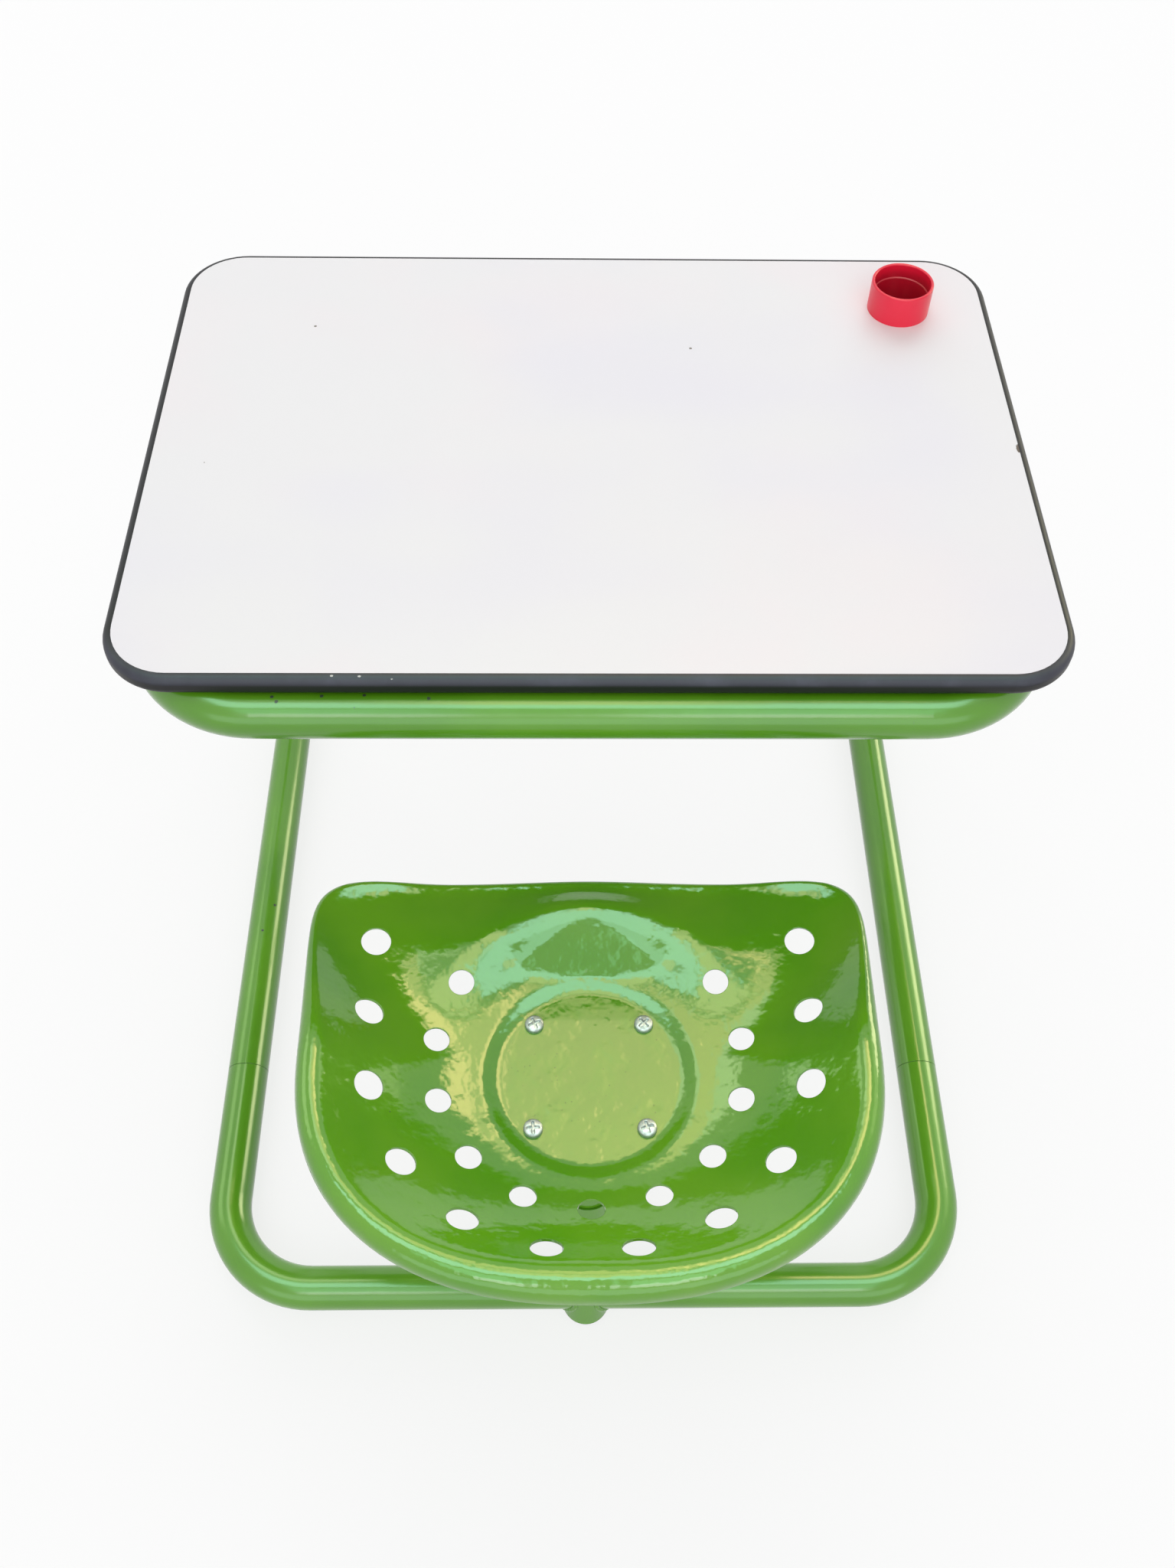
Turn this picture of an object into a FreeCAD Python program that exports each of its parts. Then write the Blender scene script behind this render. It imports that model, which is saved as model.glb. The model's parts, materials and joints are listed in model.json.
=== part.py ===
import FreeCAD, Part
import os
from math import atan2, cos, degrees, hypot, pi, radians, sin, sqrt, tan

V = FreeCAD.Vector
UP = V(0, 0, 1)

# A child's desk with its own seat. Two bent steel tube loops, one on the floor and one under the
# table top, plug into two C-shaped side frames. A pressed steel pan seat stands on a leaning post
# on the floor loop's crossbar, and a pencil cup hangs in a hole in the laminated top.
# Lengths are millimetres. X is the sitter's right, Y points from the seat to the far edge of the
# top, Z is up. The origin lies on the floor, under the middle of the whole desk.

# Tube frame
tube_d = 38.0
tube_wall = 2.0
bend_r = 82.0            # centreline radius of every bend
frame_side_inset = 27.0  # from the top's side edges to the axes of the tubes
frame_rise = 491.4       # between the axes of the floor tubes and the top tubes
loop_leg = 208.0         # from a loop's crossbar axis to the seam where it meets the side frame
upright_inset = 42.0     # from the top's far edge to the uprights' axis
paint_film = 0.15        # enamel between pieces that seat on each other

# Plug joints between the loops and the side frames
spigot_reach = 50.0      # how far a spigot goes into each tube
spigot_wall = 1.5
spigot_clearance = 0.12
seam_gap = 0.4           # between the tube ends at a joint
joint_screw_d = 4.2
joint_screw_head_d = 8.0
joint_screw_head_h = 2.0
joint_screw_length = 9.0

# Floor glides
glide_h = 3.0
glide_d = 22.0
glide_stem_d = 8.0
glide_stem_length = 6.0
glide_setback = 30.0     # from the end of a bend to the glide's axis

# Table top
top_width = 706.0
top_depth = 496.0
top_overhang = 264.0     # from the floor crossbar's axis to the top's near edge
upper_bar_inset = 0.5    # from the top's near edge to the axis of the bar under it
core_t = 15.2
laminate_t = 1.2
top_corner_r = 52.0
trim_bulge = 7.0         # how far the edging stands out, and the radius of its two rounds
trim_tongue = 9.0
trim_tongue_t = 3.0
trim_gap = 0.05
groove_gap = 0.15

# Screws that hold the top on the frame
top_screw_d = 6.0
top_screw_head_d = 11.0
top_screw_head_h = 3.4
top_screw_front = 119.0  # from the top loop's front bar to the near pair
top_screw_back = 126.0   # from the uprights' axis to the far pair
insert_d = 10.0
insert_length = 12.0
screw_tip_gap = 1.0      # between a screw's tip and the end of its hole
crown_share = 0.65       # rounding of a screw head, as a share of its height
thread_gap = 0.05
drill_gap = 0.25

# Pencil cup
cup_d = 53.0             # body over the table top, which stands on it
cup_neck_d = 50.6        # part that hangs in the top's hole
cup_wall = 2.6
cup_floor = 3.0
cup_stand = 27.5         # height of the rim over the table top
cup_hang = 45.0          # length below the underside of the top
cup_ledge = 12.5         # from the rim down to a ledge inside
cup_step = 0.8           # how far the ledge stands in
cup_side_inset = 81.0    # from the top's right edge to the cup's axis
cup_far_inset = 74.0     # from the top's far edge to the cup's axis
cup_clearance = 0.35
cup_rest_gap = 0.05

# Seat post and stem
post_d = 42.4
post_wall = 2.0
post_lean = 18.0         # degrees from upright, towards the table
post_length = 136.0      # from the crossbar's axis to the post's upper end
post_foot_gap = 1.0      # the post's cut foot over the underside of the crossbar
stem_wall = 2.5
stem_clearance = 0.1
stem_foot_gap = 0.5
clamp_drop = 22.0        # from the post's upper end to the clamp screw
clamp_screw_d = 8.0
clamp_head_d = 13.0
clamp_head_h = 8.0
clamp_socket_flats = 6.0
clamp_socket_depth = 4.5
clamp_nut_flats = 13.0
clamp_nut_h = 8.0
clamp_stand_off = 2.0    # screw head over the nut

# Seat plate and its screws
plate_size = 114.0
plate_t = 4.0
plate_corner_r = 12.0
seat_screw_pitch = 87.0
seat_screw_d = 8.0
seat_screw_head_d = 15.0
seat_screw_head_h = 5.0
cross_slot_length = 8.5
cross_slot_width = 1.9
cross_slot_depth = 2.2
washer_d = 16.0
washer_t = 1.6
nut_flats = 13.0
nut_h = 6.5
screw_tail = 2.0

# Pressed seat pan
seat_z = 286.0           # upper face of the flat recess that the screws sit in
sheet_t = 2.0
recess_margin = 1.2      # from a screw head's edge to the foot of the recess's slope
recess_slope = 16.0
recess_depth = 4.0
seat_half_width = 221.0
seat_front_flare = 5.6   # extra half width at the front corners
seat_back_reach = 186.2
seat_front_reach = 165.2
back_roundness = 2.37    # exponents of the outline, 2 being an ellipse
front_roundness = 11.0
rim_back = 57.2          # heights of the edge over the recess
rim_side = 56.3
rim_corner = 29.5
rim_thigh = 18.6
rim_pommel = 24.0
roll_back = 16.0         # radii of the rolled edge
roll_side = 13.0
roll_front = 5.0
roll_turn = 95.0         # degrees that the edge rolls past its crest
shelf_r = 149.0          # from the recess's centre to the level shelf inside the front edge
shelf_start = 98.0       # degrees from the back, where that shelf begins
shelf_turn = 144.0       # and where it is complete
shelf_narrowing = 0.94   # how much later than the front edge it rises to the sides
pommel_foot = 84.0       # from the recess's centre to the foot of the raised front's ramp
pommel_slope = 0.55
pommel_rise = 9.0        # crest of the raised front over the shelf
pommel_half_width = 95.0
pommel_fade_r = 138.0    # where it begins to fade to the front edge
form_soft = 1.5          # rounding where the ramp meets what is round it
small_hole_d = 20.5
small_ring_r = 121.0     # inner ring of holes
small_ring_shift = 11.0  # its centre in front of the recess's
small_hole_step = 24.5   # degrees
small_holes_each_side = 5
big_hole_d = 24.0
big_row_r = 172.0        # outer row: a half circle round the back with straight legs
big_row_shift = 22.0     # its centre in front of the recess's
big_hole_pitch = 65.0
big_holes_each_side = 6

# Places that follow from those sizes
tube_r = tube_d / 2
tube_bore_r = tube_r - tube_wall
half_spacing = top_width / 2 - frame_side_inset
floor_z = glide_h + tube_r
upper_z = floor_z + frame_rise
board_t = core_t + 2 * laminate_t
board_z = upper_z + tube_r + paint_film
table_z = board_z + board_t
lean = radians(post_lean)
post_axis = V(0, sin(lean), cos(lean))
plate_top = seat_z - sheet_t
seat_run = (plate_top - plate_t - floor_z) * tan(lean)
crossbar_y = -(seat_run - seat_back_reach + top_overhang + top_depth) / 2
seat_y = crossbar_y + seat_run
top_near_y = crossbar_y + top_overhang
top_far_y = top_near_y + top_depth
upper_bar_y = top_near_y + upper_bar_inset
upright_y = top_far_y - upright_inset
cup_at = V(top_width / 2 - cup_side_inset, top_far_y - cup_far_inset, table_z)
half_pitch = seat_screw_pitch / 2
recess_r = hypot(half_pitch, half_pitch) + seat_screw_head_d / 2 + recess_margin
recess_edge_r = recess_r + recess_slope


def cylinder(radius, start, direction, length):
    return Part.makeCylinder(radius, length, start, direction)


def pipe(outer, inner, start, direction, length):
    """Straight hollow tube."""
    return cylinder(outer, start, direction, length).cut(cylinder(inner, start, direction, length))


def bent_path(points, radius):
    """Wire of straight runs joined by tangent bends of one radius."""
    edges = []
    here = points[0]
    for before, corner, after in zip(points, points[1:], points[2:]):
        back = (before - corner).normalize()
        ahead = (after - corner).normalize()
        half = back.getAngle(ahead) / 2
        reach = radius / tan(half)
        middle = corner + (back + ahead).normalize() * (radius / sin(half) - radius)
        bend_in, bend_out = corner + back * reach, corner + ahead * reach
        edges.append(Part.LineSegment(here, bend_in).toShape())
        edges.append(Part.Arc(bend_in, middle, bend_out).toShape())
        here = bend_out
    edges.append(Part.LineSegment(here, points[-1]).toShape())
    return Part.Wire(edges)


def bent_tube(points):
    """Hollow frame tube along straight runs with the frame's bend radius."""
    path = bent_path(points, bend_r)
    start, direction = points[0], points[1] - points[0]
    rings = [Part.Wire(Part.Circle(start, direction, r).toShape()) for r in (tube_r, tube_bore_r)]
    outer, bore = [path.makePipe(Part.Face(ring)) for ring in rings]
    return outer.cut(bore)


def loop_tube(bar_y, z):
    """U-shaped loop: a crossbar with a leg at each end."""
    seam_y = bar_y + loop_leg - seam_gap / 2
    corners = [(-half_spacing, seam_y), (-half_spacing, bar_y),
               (half_spacing, bar_y), (half_spacing, seam_y)]
    return bent_tube([V(x, y, z) for x, y in corners])


def side_tube(side):
    """C-shaped side frame: floor runner, upright and top rail."""
    seam_from_bar = loop_leg + seam_gap / 2
    corners = [(crossbar_y + seam_from_bar, floor_z), (upright_y, floor_z),
               (upright_y, upper_z), (upper_bar_y + seam_from_bar, upper_z)]
    return bent_tube([V(side * half_spacing, y, z) for y, z in corners])


def seam_places():
    """Name, side and centre of the four plug joints."""
    for level, bar_y, z in (("floor", crossbar_y, floor_z), ("top", upper_bar_y, upper_z)):
        for name, side in (("left", -1), ("right", 1)):
            yield f"{name}_{level}_spigot", V(side * half_spacing, bar_y + loop_leg, z)


def spigot(seam):
    outer = tube_bore_r - spigot_clearance
    return pipe(outer, outer - spigot_wall, seam - V(0, spigot_reach, 0), V(0, 1, 0), 2 * spigot_reach)


def joint_screw_foot(seam):
    """Underside of the side frame's tube, halfway along the spigot."""
    return seam + V(0, spigot_reach / 2, -tube_r)


def button_head(place, diameter, height, direction):
    """Round screw head with a rounded crown, standing on a place in a direction along Z."""
    head = cylinder(diameter / 2, place, direction, height)
    crown_z = place.z + direction.z * height
    crown = [e for e in head.Edges if abs(e.BoundBox.ZMin - crown_z) + abs(e.BoundBox.ZMax - crown_z) < 1e-6]
    return head.makeFillet(height * crown_share, crown)


def joint_screw(seam):
    """Low-headed screw that goes up through the tube into the spigot."""
    foot = joint_screw_foot(seam)
    head = button_head(foot, joint_screw_head_d, joint_screw_head_h, -UP)
    return head.fuse(cylinder(joint_screw_d / 2, foot, UP, joint_screw_length)).removeSplitter()


def glide_places():
    """Two glides under the crossbar and one under each runner's far end."""
    near_x = half_spacing - bend_r - glide_setback
    far_y = upright_y - bend_r - glide_setback
    for name, side in (("left", -1), ("right", 1)):
        yield f"near_{name}_glide", V(side * near_x, crossbar_y, 0), V(1, 0, 0)
        yield f"far_{name}_glide", V(side * half_spacing, far_y, 0), V(0, 1, 0)


def glide(foot, along):
    """Plastic pad shaped to the tube, with a stem through the tube's lower wall."""
    pad = cylinder(glide_d / 2, foot, UP, floor_z)
    foot_edge = [e for e in pad.Edges if e.BoundBox.ZMax < 1e-6]
    pad = pad.makeChamfer(glide_h / 4, foot_edge)
    axis_point = foot + UP * floor_z
    seat = cylinder(tube_r + paint_film, axis_point - along * glide_d, along, 2 * glide_d)
    stem_foot = glide_h / 2
    stem_top = glide_h + tube_wall + glide_stem_length
    stem = cylinder(glide_stem_d / 2, foot + UP * stem_foot, UP, stem_top - stem_foot)
    return pad.cut(seat).fuse(stem).removeSplitter()


def frame_drillings():
    """Everything that is drilled through the frame tubes."""
    cuts = []
    for _, seam in seam_places():
        cuts.append(cylinder(joint_screw_d / 2 + thread_gap, joint_screw_foot(seam), UP, tube_r))
    for _, foot, _ in glide_places():
        cuts.append(cylinder(glide_stem_d / 2 + thread_gap, foot, UP, floor_z))
    for place in top_screw_places():
        cuts.append(cylinder(top_screw_d / 2 + drill_gap, place - UP * tube_r, UP, tube_d))
    return Part.makeCompound(cuts)


def top_screw_places():
    """Points on the top tubes' axes where the four screws of the table top pass."""
    for side in (-1, 1):
        yield V(side * half_spacing, upper_bar_y + top_screw_front, upper_z)
        yield V(side * half_spacing, upright_y - top_screw_back, upper_z)


def top_screw(place):
    foot = place - UP * tube_r
    head = button_head(foot, top_screw_head_d, top_screw_head_h, -UP)
    shank_top = board_z + laminate_t + insert_length - screw_tip_gap
    return head.fuse(cylinder(top_screw_d / 2, foot, UP, shank_top - foot.z)).removeSplitter()


def insert(place):
    """Threaded bush set into the core from below."""
    foot = V(place.x, place.y, board_z + laminate_t)
    return pipe(insert_d / 2, top_screw_d / 2 + thread_gap, foot, UP, insert_length)


def rounded_plate(width, depth, corner, base, height):
    """Flat plate with rounded corners, centred over a base point."""
    box = Part.makeBox(width, depth, height, base - V(width / 2, depth / 2, 0))
    upright = [e for e in box.Edges if abs(e.BoundBox.ZLength - height) < 1e-6]
    return box.makeFillet(corner, upright)


def board_layer(z, height, grow=0.0):
    """One layer of the top inside its edge trim, larger or smaller by grow all round."""
    inset = trim_bulge - grow
    middle = V(0, (top_near_y + top_far_y) / 2, z)
    width, depth = top_width - 2 * inset, top_depth - 2 * inset
    return rounded_plate(width, depth, top_corner_r - inset, middle, height)


def cup_hole():
    radius = cup_neck_d / 2 + cup_clearance
    return cylinder(radius, V(cup_at.x, cup_at.y, board_z - 1), UP, board_t + 2)


def table_core():
    z = board_z + laminate_t
    core = board_layer(z, core_t)
    slot_t = trim_tongue_t + 2 * groove_gap
    slot_z = z + core_t / 2 - slot_t / 2
    groove = board_layer(slot_z, slot_t, 1).cut(board_layer(slot_z, slot_t, -trim_tongue - groove_gap))
    bushes = [cylinder(insert_d / 2 + thread_gap, V(p.x, p.y, z), UP, insert_length + screw_tip_gap)
              for p in top_screw_places()]
    return core.cut(groove).cut(Part.makeCompound(bushes)).cut(cup_hole())


def top_laminate():
    return board_layer(table_z - laminate_t, laminate_t).cut(cup_hole())


def backing_laminate():
    bushes = [cylinder(insert_d / 2 + drill_gap, V(p.x, p.y, board_z - 1), UP, board_t)
              for p in top_screw_places()]
    return board_layer(board_z, laminate_t).cut(Part.makeCompound(bushes)).cut(cup_hole())


def edge_trim():
    """Soft edge strip: a face with two rounds outside the board and a tongue in the core's groove."""
    far_y = top_far_y - trim_bulge + trim_gap
    near_y = top_near_y + trim_bulge - trim_gap
    half_w = top_width / 2 - trim_bulge + trim_gap
    r = top_corner_r - trim_bulge + trim_gap
    corners = [V(0, far_y, table_z), V(half_w, far_y, table_z), V(half_w, near_y, table_z),
               V(-half_w, near_y, table_z), V(-half_w, far_y, table_z), V(0, far_y, table_z)]
    path = bent_path(corners, r)
    bulge = trim_bulge - trim_gap

    def spot(out, down):
        return V(0, far_y + out, table_z - down)

    mid, half_tongue = board_t / 2, trim_tongue_t / 2
    inner = [spot(0, board_t), spot(0, mid + half_tongue), spot(-trim_tongue, mid + half_tongue),
             spot(-trim_tongue, mid - half_tongue), spot(0, mid - half_tongue), spot(0, 0)]
    edges = [Part.LineSegment(a, b).toShape() for a, b in zip(inner, inner[1:])]
    out = bulge * sin(pi / 4)
    turn_in = bulge - out
    edges.append(Part.Arc(spot(0, 0), spot(out, turn_in), spot(bulge, bulge)).toShape())
    edges.append(Part.LineSegment(spot(bulge, bulge), spot(bulge, board_t - bulge)).toShape())
    low_end = spot(0, board_t)
    edges.append(Part.Arc(spot(bulge, board_t - bulge), spot(out, board_t - turn_in), low_end).toShape())
    return path.makePipe(Part.Face(Part.Wire(edges)))


def pencil_cup():
    """Round cup whose body stands on the table top round a narrower neck, with a ledge in its mouth."""
    outer, neck = cup_d / 2, cup_neck_d / 2
    inner = outer - cup_wall
    bore = inner - cup_step
    bottom = board_z - cup_hang - table_z
    ledge_z = cup_stand - cup_ledge
    lip = cup_wall / 2
    points = [V(0, 0, bottom), V(neck - cup_wall, 0, bottom), V(neck, 0, bottom + cup_wall),
              V(neck, 0, cup_rest_gap), V(outer, 0, cup_rest_gap), V(outer, 0, cup_stand - lip)]
    rim = Part.Arc(points[-1], V(outer - lip, 0, cup_stand), V(inner, 0, cup_stand - lip)).toShape()
    inside = [V(inner, 0, cup_stand - lip), V(inner, 0, ledge_z), V(bore, 0, ledge_z - cup_step),
              V(bore, 0, bottom + cup_floor), V(0, 0, bottom + cup_floor), V(0, 0, bottom)]
    edges = [Part.LineSegment(a, b).toShape() for a, b in zip(points, points[1:])]
    edges.append(rim)
    edges += [Part.LineSegment(a, b).toShape() for a, b in zip(inside, inside[1:])]
    cup = Part.Face(Part.Wire(edges)).revolve(V(0, 0, 0), UP, 360)
    cup.translate(cup_at)
    return cup


def on_post(distance):
    """Point on the post's axis, measured up from the crossbar's axis."""
    return V(0, crossbar_y, floor_z) + post_axis * distance


def slab_above(z):
    """Large block whose underside lies at one height, for cutting tube ends level."""
    size = 4 * plate_size
    return Part.makeBox(size, size, size, V(-size / 2, seat_y - size / 2, z))


def seat_post():
    """Leaning tube that the floor loop's crossbar passes through, cut level at its foot."""
    foot_z = glide_h + post_foot_gap
    drop = tube_d * 2
    post = pipe(post_d / 2, post_d / 2 - post_wall, on_post(-drop), post_axis, post_length + drop)
    post = post.common(slab_above(foot_z))
    crossbar = cylinder(tube_r + paint_film, V(-post_d, crossbar_y, floor_z), V(1, 0, 0), 2 * post_d)
    screw_way = cylinder(clamp_screw_d / 2 + drill_gap, on_post(post_length - clamp_drop), V(1, 0, 0), post_d)
    return post.cut(crossbar).cut(screw_way)


def hexagon(flats, height, base, direction):
    """Hexagonal prism along a direction."""
    corner = flats / sqrt(3)
    ring = [V(corner * cos(radians(60 * k)), corner * sin(radians(60 * k)), 0) for k in range(7)]
    prism = Part.Face(Part.makePolygon(ring)).extrude(UP * height)
    prism.Placement = FreeCAD.Placement(base, FreeCAD.Rotation(UP, direction))
    return prism


def clamp_nut():
    """Nut welded to the post's right side, hollowed to the post's round."""
    across = V(1, 0, 0)
    centre = on_post(post_length - clamp_drop)
    nut = hexagon(clamp_nut_flats, post_d / 2 + clamp_nut_h, centre, across)
    body = cylinder(post_d / 2 + paint_film, on_post(0), post_axis, post_length + post_d)
    thread = cylinder(clamp_screw_d / 2 + thread_gap, centre, across, 2 * post_d)
    return nut.cut(body).cut(thread)


def clamp_screw():
    """Socket screw whose tip grips the stem."""
    across = V(1, 0, 0)
    centre = on_post(post_length - clamp_drop)
    tip = post_d / 2 - post_wall + paint_film
    head_x = post_d / 2 + clamp_nut_h + clamp_stand_off
    head = cylinder(clamp_head_d / 2, centre + across * head_x, across, clamp_head_h)
    outer_rim = [e for e in head.Edges if e.BoundBox.XMin > head.BoundBox.XMax - 1e-6]
    head = head.makeChamfer(clamp_head_h / 10, outer_rim)
    socket_x = head_x + clamp_head_h - clamp_socket_depth
    socket = hexagon(clamp_socket_flats, clamp_head_h, centre + across * socket_x, across)
    shank = cylinder(clamp_screw_d / 2, centre + across * tip, across, head_x - tip)
    return head.cut(socket).fuse(shank).removeSplitter()


def seat_stem():
    """Tube that slides in the post, cut level under the seat plate."""
    outer = post_d / 2 - post_wall - stem_clearance
    foot = tube_r + stem_foot_gap
    length = (seat_z - floor_z) / cos(lean) + post_d
    stem = pipe(outer, outer - stem_wall, on_post(foot), post_axis, length - foot)
    return stem.cut(slab_above(plate_top - plate_t))


def seat_screw_places():
    """Centres of the four seat screws' heads, on the recess's enamel."""
    for x in (-half_pitch, half_pitch):
        for y in (-half_pitch, half_pitch):
            yield V(x, seat_y + y, seat_z + paint_film)


def seat_plate():
    plate = rounded_plate(plate_size, plate_size, plate_corner_r, V(0, seat_y, plate_top - plate_t), plate_t)
    holes = [cylinder(seat_screw_d / 2 + drill_gap, V(p.x, p.y, plate_top - 2 * plate_t), UP, 3 * plate_t)
             for p in seat_screw_places()]
    return plate.cut(Part.makeCompound(holes))


def seat_screw(place):
    """Cross-slotted pan-head screw."""
    head = button_head(place, seat_screw_head_d, seat_screw_head_h, UP)
    slot_z = place.z + seat_screw_head_h - cross_slot_depth
    for width, depth in ((cross_slot_length, cross_slot_width), (cross_slot_width, cross_slot_length)):
        corner = V(place.x - width / 2, place.y - depth / 2, slot_z)
        head = head.cut(Part.makeBox(width, depth, seat_screw_head_h, corner))
    reach = paint_film + sheet_t + plate_t + washer_t + nut_h + screw_tail
    return head.fuse(cylinder(seat_screw_d / 2, place, -UP, reach)).removeSplitter()


def seat_washer(place):
    base = V(place.x, place.y, plate_top - plate_t - washer_t)
    return pipe(washer_d / 2, seat_screw_d / 2 + drill_gap, base, UP, washer_t)


def seat_nut(place):
    base = V(place.x, place.y, plate_top - plate_t - washer_t - nut_h)
    return hexagon(nut_flats, nut_h, base, UP).cut(cylinder(seat_screw_d / 2 + thread_gap, base, UP, nut_h))


def ease(t):
    """Smooth step from 0 to 1."""
    t = min(max(t, 0.0), 1.0)
    return t * t * (3 - 2 * t)


def around(turn, stops):
    """Value at an angle from the seat's back (0) to its front (180), eased between stops."""
    for (a0, v0), (a1, v1) in zip(stops, stops[1:]):
        if turn <= a1:
            return v0 + (v1 - v0) * ease((turn - a0) / (a1 - a0))
    return stops[-1][1]


def seat_outline(turn):
    """Distance from the seat's centre to its edge: an ellipse squared off, more so at the front."""
    across, along = sin(radians(turn)), cos(radians(turn))
    reach, n = (seat_back_reach, back_roundness) if along > 0 else (seat_front_reach, front_roundness)
    half_width = around(turn, ((0, seat_half_width), (90, seat_half_width),
                               (130, seat_half_width + seat_front_flare)))
    return ((abs(across) / half_width) ** n + (abs(along) / reach) ** n) ** (-1 / n)


def seat_edge(turn):
    """Outline, crest height, roll radius and wall angle of the rolled edge."""
    crest = around(turn, ((0, rim_back), (90, rim_side), (127, rim_corner),
                          (144, rim_thigh), (180, rim_pommel)))
    roll = around(turn, ((0, roll_back), (90, roll_side), (125, roll_front), (180, roll_front)))
    wall = around(turn, ((0, 46), (90, 37), (130, 6), (150, 2), (180, 0)))
    return seat_outline(turn), crest, roll, radians(wall)


def seat_wall(turn):
    """Radius and height where the bowl meets the rolled edge."""
    edge, crest, roll, wall = seat_edge(turn)
    return edge - roll - roll * sin(wall), crest - roll + roll * cos(wall)


def pommel_height(across, ahead, below, fade):
    """Extra height of the raised front: a plane ramp that ends in a crest falling to both sides."""
    ramp = recess_depth + pommel_slope * (ahead - pommel_foot) - below
    ramp = (ramp + hypot(ramp, form_soft)) / 2
    crest = pommel_rise * ease(1 - across / pommel_half_width) * fade
    return max((ramp + crest - hypot(ramp - crest, form_soft)) / 2, 0.0)


def bowl_height(turn, r):
    """Height of the pan's upper face between the recess and the rolled edge."""
    wall_r, wall_z = seat_wall(turn)
    power = around(turn, ((0, 1.62), (90, 1.81), (135, 3.0)))
    t = max(r - recess_edge_r, 0.0) / (wall_r - recess_edge_r)
    height = recess_depth + (wall_z - recess_depth) * t ** power
    if turn <= shelf_start:
        return height
    across, ahead = r * sin(radians(turn)), -r * cos(radians(turn))
    facing = 180 - degrees(atan2(shelf_narrowing * across, seat_front_reach))
    climb = ease((r - recess_edge_r) / (shelf_r - recess_edge_r))
    shelf = recess_depth + (seat_wall(facing)[1] - recess_depth) * climb
    share = ease((turn - shelf_start) / (shelf_turn - shelf_start)) * (1 - min(t, 1.0) ** 6)
    height += share * (shelf - height)
    fade = 1 - ease((r - pommel_fade_r) / (wall_r - pommel_fade_r))
    return height + pommel_height(across, ahead, height, fade)


def pan_profile(turn):
    """Radius and height of the pan's upper face, from the flat recess to the end of the roll."""
    edge, crest, roll, wall = seat_edge(turn)
    wall_r = seat_wall(turn)[0]
    flat, slope, bowl, curl = 2, 6, 16, 8
    points = []
    for k in range(-flat, slope + 1):
        points.append((recess_r + recess_slope * k / slope, recess_depth * ease(k / slope)))
    for k in range(1, bowl + 1):
        r = recess_edge_r + (wall_r - recess_edge_r) * k / bowl
        points.append((r, bowl_height(turn, r)))
    for k in range(1, curl + 1):
        angle = -wall + (radians(roll_turn) + wall) * k / curl
        points.append((edge - roll + roll * sin(angle), crest - roll + roll * cos(angle)))
    return points


def pan_point(degrees_round, radius, height):
    angle = radians(degrees_round)
    return V(radius * sin(angle), -radius * cos(angle), height)


def pan_grids():
    """Control points of the upper face and of the lower face, one sheet thickness below it."""
    step = 4
    upper = []
    for turn in range(0, 360, step):
        half_turn = min(turn, 360 - turn)
        upper.append([pan_point(turn, r, z) for r, z in pan_profile(half_turn)])
    count, last = len(upper), len(upper[0]) - 1
    lower = []
    for i, row in enumerate(upper):
        ahead, behind = upper[(i + 1) % count], upper[i - 1]
        offset = []
        for j, point in enumerate(row):
            outward = row[min(j + 1, last)] - row[max(j - 1, 0)]
            normal = outward.cross(ahead[j] - behind[j]).normalize()
            offset.append(point - normal * sheet_t)
        lower.append(offset)
    return upper, lower


def grid_face(grid):
    """Smooth face over a net of control points, closed round the seat."""
    rounds, stations, order = len(grid), len(grid[0]), 3
    inner_knots = stations - order - 1
    across_knots = [order + 1] + [1] * inner_knots + [order + 1]
    surface = Part.BSplineSurface()
    surface.buildFromPolesMultsKnots(grid, [1] * (rounds + 1), across_knots, list(range(rounds + 1)),
                                     list(range(len(across_knots))), True, False, order, order)
    return surface.toShape()


def ring_edges(face):
    """Inner and outer closed edges of a pan face."""
    closed = [e for e in face.Edges if e.isClosed()]
    closed.sort(key=lambda e: e.Length)
    return closed[0], closed[-1]


def pan_spot(x, y):
    """Point of the pan's upper face over a place beside the recess's centre."""
    turn = degrees(atan2(abs(x), -y))
    return V(x, y, bowl_height(turn, hypot(x, y)))


def pan_hole(x, y, diameter):
    """Punch through the pan, square to its upper face."""
    step = sheet_t / 2
    rightward = pan_spot(x + step, y) - pan_spot(x - step, y)
    forward = pan_spot(x, y + step) - pan_spot(x, y - step)
    normal = rightward.cross(forward).normalize()
    depth = diameter / 2
    return cylinder(diameter / 2, pan_spot(x, y) - normal * depth, normal, 2 * depth)


def pan_holes():
    punches = []
    for k in range(-small_holes_each_side, small_holes_each_side + 1):
        angle = radians(k * small_hole_step)
        x, y = small_ring_r * sin(angle), small_ring_shift - small_ring_r * cos(angle)
        punches.append(pan_hole(x, y, small_hole_d))
    for k in range(big_holes_each_side):
        run = big_hole_pitch * (k + 0.5)
        angle = min(run / big_row_r, pi / 2)
        leg = run - big_row_r * angle
        x, y = big_row_r * sin(angle), big_row_shift - big_row_r * cos(angle) + leg
        punches += [pan_hole(side * x, y, big_hole_d) for side in (-1, 1)]
    for x in (-half_pitch, half_pitch):
        for y in (-half_pitch, half_pitch):
            punches.append(cylinder(seat_screw_d / 2 + drill_gap, V(x, y, -2 * sheet_t), UP, 4 * sheet_t))
    return Part.makeCompound(punches)


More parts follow.
